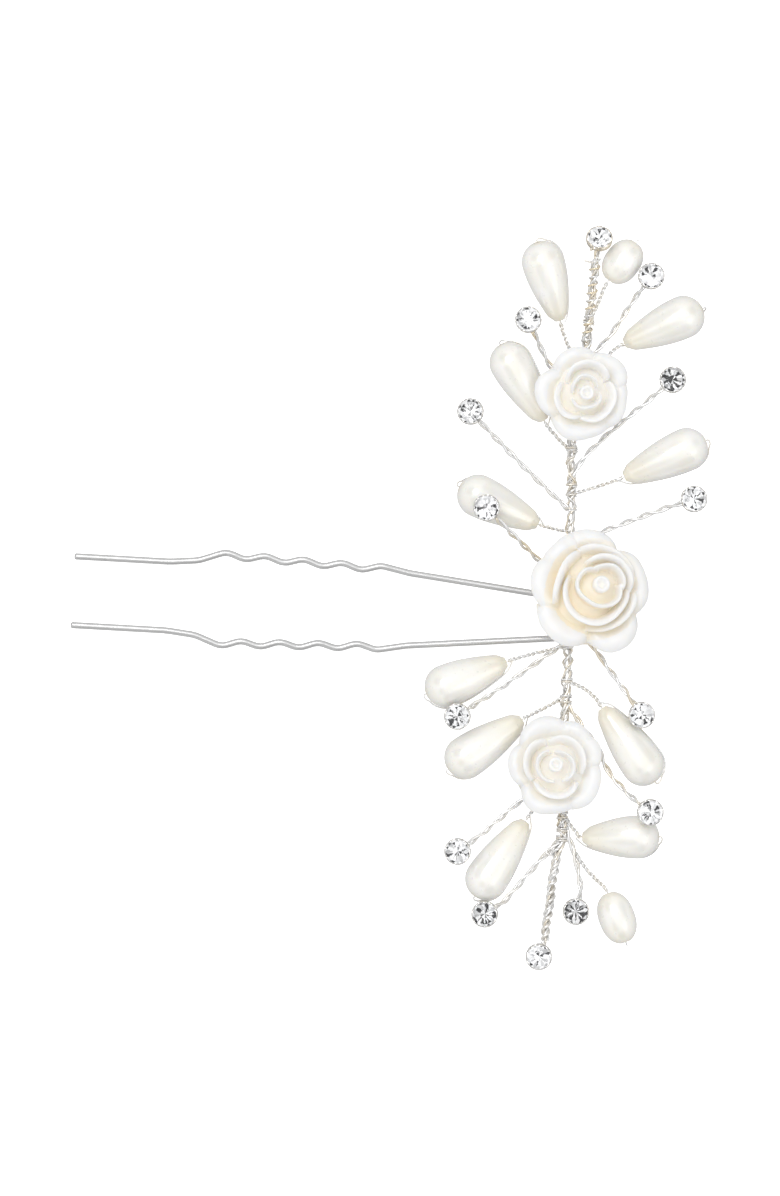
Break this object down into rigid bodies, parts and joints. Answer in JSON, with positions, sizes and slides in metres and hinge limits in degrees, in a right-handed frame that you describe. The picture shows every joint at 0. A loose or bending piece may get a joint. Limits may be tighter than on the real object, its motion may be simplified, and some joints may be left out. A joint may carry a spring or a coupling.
{
  "type": "flower hairpin",
  "caption": "Two-prong wavy wire hairpin with a wired spray of resin roses, teardrop pearls and crystals in metal cups.",
  "frame": {"origin": "centre of the pin's round bow, at the middle of its wire", "axes": "-X along the prongs to their tips, +Y up the spray's wire spine, +Z out of the flowers' faces"},
  "size_m": [0.0969, 0.1147, 0.0125],
  "materials": {
    "pin_steel": "bright drawn wire",
    "silver_wire": "silver and champagne craft wire",
    "cup_metal": "polished plate",
    "resin_white": "satin cast resin with cream hollows",
    "pearl_ivory": "pearl lacquer",
    "crystal_glass": "cut and foiled",
    "glue": "set clear glue"
  },
  "bodies": {
    "spray": {"pin_bow": "pin_steel", "bow_binding": "silver_wire", "spine_upper": "silver_wire", "spine_lower": "silver_wire", "top_wrap": "silver_wire", "bottom_wrap": "silver_wire", "rose_center": "resin_white", "rose_upper": "resin_white", "rose_lower": "resin_white", "glue_pad_center": "glue", "glue_pad_upper": "glue", "glue_pad_lower": "glue", "drop_stem_1": "silver_wire", "drop_stem_2": "silver_wire", "drop_stem_3": "silver_wire", "drop_stem_4": "silver_wire", "drop_stem_5": "silver_wire", "drop_stem_6": "silver_wire", "drop_stem_7": "silver_wire", "drop_stem_8": "silver_wire", "drop_stem_9": "silver_wire", "drop_stem_10": "silver_wire", "rice_stem_1": "silver_wire", "rice_stem_2": "silver_wire", "crystal_1": "crystal_glass", "crystal_2": "crystal_glass", "crystal_3": "crystal_glass", "crystal_4": "crystal_glass", "crystal_5": "crystal_glass", "crystal_6": "crystal_glass", "crystal_7": "crystal_glass", "crystal_8": "crystal_glass", "crystal_9": "crystal_glass", "crystal_10": "crystal_glass", "crystal_11": "crystal_glass", "crystal_12": "crystal_glass", "crystal_13": "crystal_glass", "crystal_14": "crystal_glass", "cups_upper": "cup_metal", "cups_lower": "cup_metal", "crystal_stems_upper": "silver_wire", "crystal_stems_lower": "silver_wire"},
    "upper_prong": {"upper_prong": "pin_steel"},
    "lower_prong": {"lower_prong": "pin_steel"},
    "drop_pearl_1": {"drop_pearl_1": "pearl_ivory"},
    "drop_pearl_2": {"drop_pearl_2": "pearl_ivory"},
    "drop_pearl_3": {"drop_pearl_3": "pearl_ivory"},
    "drop_pearl_4": {"drop_pearl_4": "pearl_ivory"},
    "drop_pearl_5": {"drop_pearl_5": "pearl_ivory"},
    "drop_pearl_6": {"drop_pearl_6": "pearl_ivory"},
    "drop_pearl_7": {"drop_pearl_7": "pearl_ivory"},
    "drop_pearl_8": {"drop_pearl_8": "pearl_ivory"},
    "drop_pearl_9": {"drop_pearl_9": "pearl_ivory"},
    "drop_pearl_10": {"drop_pearl_10": "pearl_ivory"},
    "rice_pearl_1": {"rice_pearl_1": "pearl_ivory"},
    "rice_pearl_2": {"rice_pearl_2": "pearl_ivory"}
  },
  "joints": [
    {"name": "upper_prong_flex", "type": "hinge", "parent": "spray", "child": "upper_prong", "pos_m": [-0.0015, 0.00328, 0], "axis": [0, 0, -1], "range_deg": [-3, 6], "stiffness_Nm_per_rad": 0.39},
    {"name": "lower_prong_flex", "type": "hinge", "parent": "spray", "child": "lower_prong", "pos_m": [-0.0015, -0.00328, 0], "axis": [0, 0, 1], "range_deg": [-3, 6], "stiffness_Nm_per_rad": 0.39},
    {"name": "drop_pearl_1_spin", "type": "hinge", "parent": "spray", "child": "drop_pearl_1", "pos_m": [-0.0047, 0.0516, 0.0034], "axis": [-0.3293, 0.9253, 0.1882], "continuous": true},
    {"name": "drop_pearl_2_spin", "type": "hinge", "parent": "spray", "child": "drop_pearl_2", "pos_m": [0.01335, 0.0457, 0.0033], "axis": [0.8816, 0.4521, 0.1356], "continuous": true},
    {"name": "drop_pearl_3_spin", "type": "hinge", "parent": "spray", "child": "drop_pearl_3", "pos_m": [-0.0079, 0.03585, 0.00255], "axis": [-0.5453, 0.8327, 0.0958], "continuous": true},
    {"name": "drop_pearl_4_spin", "type": "hinge", "parent": "spray", "child": "drop_pearl_4", "pos_m": [0.01475, 0.02535, 0.0028], "axis": [0.8886, 0.4551, 0.0578], "continuous": true},
    {"name": "drop_pearl_5_spin", "type": "hinge", "parent": "spray", "child": "drop_pearl_5", "pos_m": [-0.01045, 0.01675, 0.00265], "axis": [-0.9238, 0.3769, 0.0665], "continuous": true},
    {"name": "drop_pearl_6_spin", "type": "hinge", "parent": "spray", "child": "drop_pearl_6", "pos_m": [-0.01395, -0.01, 0.003], "axis": [-0.905, -0.4188, 0.0748], "continuous": true},
    {"name": "drop_pearl_7_spin", "type": "hinge", "parent": "spray", "child": "drop_pearl_7", "pos_m": [-0.0105, -0.02005, 0.0028], "axis": [-0.7969, -0.6013, 0.058], "continuous": true},
    {"name": "drop_pearl_8_spin", "type": "hinge", "parent": "spray", "child": "drop_pearl_8", "pos_m": [0.0116, -0.01895, 0.003], "axis": [0.6271, -0.7768, 0.057], "continuous": true},
    {"name": "drop_pearl_9_spin", "type": "hinge", "parent": "spray", "child": "drop_pearl_9", "pos_m": [0.0112, -0.0331, 0.0027], "axis": [0.9908, 0.0672, 0.1176], "continuous": true},
    {"name": "drop_pearl_10_spin", "type": "hinge", "parent": "spray", "child": "drop_pearl_10", "pos_m": [-0.0072, -0.0375, 0.00265], "axis": [-0.5134, -0.8557, 0.0642], "continuous": true},
    {"name": "rice_pearl_1_spin", "type": "hinge", "parent": "spray", "child": "rice_pearl_1", "pos_m": [0.0065, 0.0552, 0.00305], "axis": [0.5417, 0.8396, 0.0406], "continuous": true},
    {"name": "rice_pearl_2_spin", "type": "hinge", "parent": "spray", "child": "rice_pearl_2", "pos_m": [0.01125, -0.0455, 0.00295], "axis": [0.398, -0.9167, 0.0362], "continuous": true}
  ]
}
